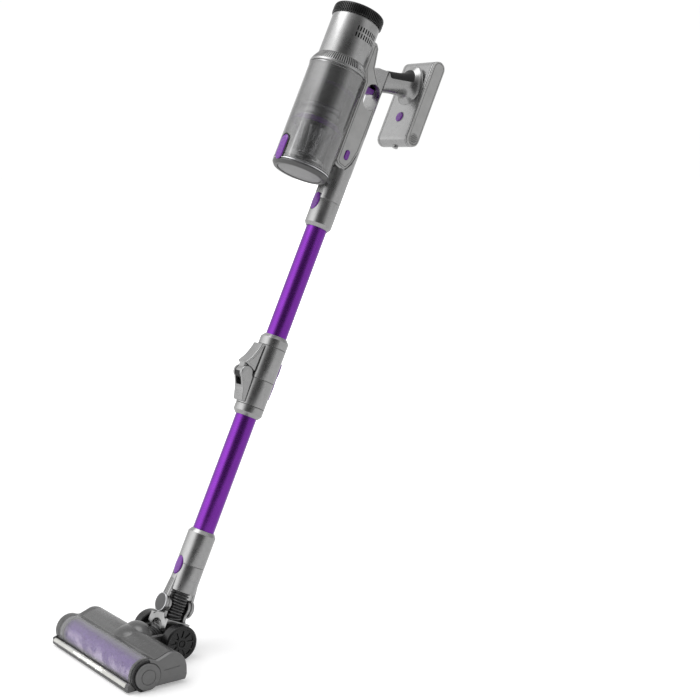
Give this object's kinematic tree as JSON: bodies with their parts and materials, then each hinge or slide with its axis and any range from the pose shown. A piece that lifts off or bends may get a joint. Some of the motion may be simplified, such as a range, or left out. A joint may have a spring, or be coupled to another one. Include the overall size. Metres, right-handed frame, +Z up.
{
  "type": "cordless stick vacuum",
  "caption": "Upright cordless stick vacuum with a clear cyclone dust bin, folding wand, clip-on battery and a powered roller floor head.",
  "frame": {"origin": "centre of the middle skid's flat face under the floor head, on the floor", "axes": "+Z up from the floor, -Y forwards the way the head is pushed, +X towards the right of the floor head as seen from behind; the wand leans back 25.25 degrees towards +Y"},
  "size_m": [0.268, 0.6694, 1.0295],
  "materials": {
    "gunmetal": "satin metallic coat",
    "light_grey": "satin",
    "black_plastic": "fine satin",
    "black_rubber": "matt",
    "purple_plastic": "gloss",
    "purple_metal": "anodised satin",
    "steel": "plain",
    "motor_metal": "plain",
    "bright_metal": "satin metallised",
    "circuit_board": "solder mask",
    "filter_white": "pleated",
    "smoke_clear": "clear moulding",
    "window_clear": "clear moulding",
    "purple_plush": "soft pile",
    "cell_sleeve": "sleeved"
  },
  "bodies": {
    "handheld": {"duct_housing": "gunmetal", "side_panel_right": "light_grey", "side_panel_left": "light_grey", "handle_arm": "gunmetal", "grip_pad": "black_rubber", "motor_housing": "gunmetal", "ribbed_skirt": "gunmetal", "suction_motor": "motor_metal", "control_board": "circuit_board", "trigger_spring": "steel"},
    "impeller": {"impeller": "bright_metal"},
    "trigger": {"trigger": "purple_plastic"},
    "filter_ring": {"cap_ring": "black_plastic"},
    "filter_cartridge": {"exhaust_filter": "filter_white", "filter_cover": "gunmetal"},
    "dust_bin": {"dust_cup": "smoke_clear", "cyclone_body": "bright_metal", "mesh_screen": "steel"},
    "bin_lid": {"bin_lid": "gunmetal", "lid_gasket": "black_rubber"},
    "bin_latch": {"bin_latch": "purple_plastic"},
    "bin_button": {"bin_button": "purple_plastic"},
    "wand_button": {"wand_button": "purple_plastic"},
    "head_button": {"head_button": "purple_plastic"},
    "battery_button": {"battery_button": "purple_plastic"},
    "battery": {"battery_case": "gunmetal", "battery_cap_right": "light_grey", "battery_cap_left": "light_grey", "cell_pack": "cell_sleeve"},
    "upper_wand": {"upper_collar": "gunmetal", "upper_tube": "purple_metal", "upper_joint_housing": "gunmetal", "fold_arm": "gunmetal", "hinge_pin": "steel", "fold_hose": "black_rubber"},
    "fold_latch": {"fold_latch": "purple_plastic"},
    "lower_wand": {"lower_joint_housing": "gunmetal", "fold_knuckle": "gunmetal", "lower_tube": "purple_metal", "lower_socket": "gunmetal"},
    "neck": {"neck_tube": "gunmetal"},
    "yoke": {"neck_yoke": "gunmetal", "swivel_cap": "black_plastic", "neck_hose": "black_rubber"},
    "floor_head": {"head_housing": "gunmetal", "roller_window": "window_clear", "front_lip": "light_grey", "led_board": "circuit_board", "sole_plate": "black_plastic", "end_cover_left": "gunmetal", "end_cover_right": "gunmetal", "roller_motor": "motor_metal", "drive_belt": "black_rubber", "axle_right": "steel", "axle_left": "steel"},
    "end_knob": {"end_knob": "gunmetal"},
    "motor_pulley": {"motor_pulley": "steel"},
    "roller": {"roller": "purple_plush"},
    "wheel_right": {"wheel_right": "black_plastic"},
    "wheel_left": {"wheel_left": "black_plastic"}
  },
  "joints": [
    {"name": "impeller_spin", "type": "hinge", "parent": "handheld", "child": "impeller", "pos_m": [0, 0.39468, 0.92559], "axis": [0, 0.4266, 0.9045], "continuous": true},
    {"name": "trigger_press", "type": "slide", "parent": "handheld", "child": "trigger", "axis": [0, 0.4266, 0.9045], "range_m": [0, 0.0035], "stiffness_N_per_m": 350, "springref_m": -0.004, "deforming": ["trigger_spring"]},
    {"name": "cap_twist", "type": "hinge", "parent": "handheld", "child": "filter_ring", "pos_m": [0, 0.43094, 1.00247], "axis": [0, 0.4266, 0.9045], "range_deg": [0, 30]},
    {"name": "filter_lift", "type": "slide", "parent": "filter_ring", "child": "filter_cartridge", "axis": [0, 0.4266, 0.9045], "range_m": [0, 0.04]},
    {"name": "bin_pull", "type": "slide", "parent": "handheld", "child": "dust_bin", "axis": [0, -0.9045, 0.4266], "range_m": [0, 0.06]},
    {"name": "lid_open", "type": "hinge", "parent": "dust_bin", "child": "bin_lid", "pos_m": [0, 0.35542, 0.73238], "axis": [1, 0, 0], "range_deg": [0, 75]},
    {"name": "latch_press", "type": "slide", "parent": "dust_bin", "child": "bin_latch", "axis": [0, -0.4266, -0.9045], "range_m": [0, 0.003], "stiffness_N_per_m": 300, "springref_m": -0.004},
    {"name": "bin_button_press", "type": "slide", "parent": "handheld", "child": "bin_button", "axis": [-1, 0, 0], "range_m": [0, 0.002], "stiffness_N_per_m": 300, "springref_m": -0.004},
    {"name": "wand_button_press", "type": "slide", "parent": "upper_wand", "child": "wand_button", "axis": [0, 0.9045, -0.4266], "range_m": [0, 0.0022], "stiffness_N_per_m": 300, "springref_m": -0.004},
    {"name": "head_button_press", "type": "slide", "parent": "neck", "child": "head_button", "axis": [0, 0.9045, -0.4266], "range_m": [0, 0.0022], "stiffness_N_per_m": 300, "springref_m": -0.004},
    {"name": "battery_button_press", "type": "slide", "parent": "battery", "child": "battery_button", "axis": [0, 0.9045, -0.4266], "range_m": [0, 0.002], "stiffness_N_per_m": 300, "springref_m": -0.004},
    {"name": "battery_slide", "type": "slide", "parent": "handheld", "child": "battery", "axis": [0, -0.4266, -0.9045], "range_m": [0, 0.05]},
    {"name": "wand_pull", "type": "slide", "parent": "handheld", "child": "upper_wand", "axis": [0, -0.4266, -0.9045], "range_m": [0, 0.045]},
    {"name": "wand_fold", "type": "hinge", "parent": "upper_wand", "child": "lower_wand", "pos_m": [0, 0.20054, 0.43449], "axis": [-1, 0, 0], "range_deg": [0, 140], "deforming": ["fold_hose"]},
    {"name": "fold_latch_release", "type": "hinge", "parent": "upper_wand", "child": "fold_latch", "pos_m": [0, 0.26809, 0.43469], "axis": [1, 0, 0], "range_deg": [0, 18], "stiffness_Nm_per_rad": 0.3, "springref_deg": -17.19},
    {"name": "neck_pull", "type": "slide", "parent": "lower_wand", "child": "neck", "axis": [0, -0.4266, -0.9045], "range_m": [0, 0.045]},
    {"name": "swivel", "type": "hinge", "parent": "neck", "child": "yoke", "pos_m": [0, 0.06841, 0.06992], "axis": [0, 0.9045, -0.4266], "range_deg": [-70, 70], "deforming": ["neck_hose"]},
    {"name": "pitch", "type": "hinge", "parent": "yoke", "child": "floor_head", "pos_m": [0, 0.0484, 0.0275], "axis": [1, 0, 0], "range_deg": [-25, 60], "deforming": ["neck_hose"]},
    {"name": "knob_twist", "type": "hinge", "parent": "floor_head", "child": "end_knob", "pos_m": [0.128, -0.0527, 0.022], "axis": [1, 0, 0], "range_deg": [0, 30]},
    {"name": "roller_spin", "type": "hinge", "parent": "floor_head", "child": "roller", "pos_m": [0, -0.0527, 0.022], "axis": [1, 0, 0], "continuous": true},
    {"name": "motor_pulley_spin", "type": "hinge", "parent": "floor_head", "child": "motor_pulley", "pos_m": [-0.123, -0.008, 0.024], "axis": [1, 0, 0], "continuous": true},
    {"name": "wheel_right_spin", "type": "hinge", "parent": "floor_head", "child": "wheel_right", "pos_m": [0.046, 0.0484, 0.0275], "axis": [1, 0, 0], "continuous": true},
    {"name": "wheel_left_spin", "type": "hinge", "parent": "floor_head", "child": "wheel_left", "pos_m": [-0.046, 0.0484, 0.0275], "axis": [1, 0, 0], "continuous": true}
  ],
  "couplings": [
    {"joint": "motor_pulley_spin", "follows": "roller_spin", "ratio": 2}
  ]
}
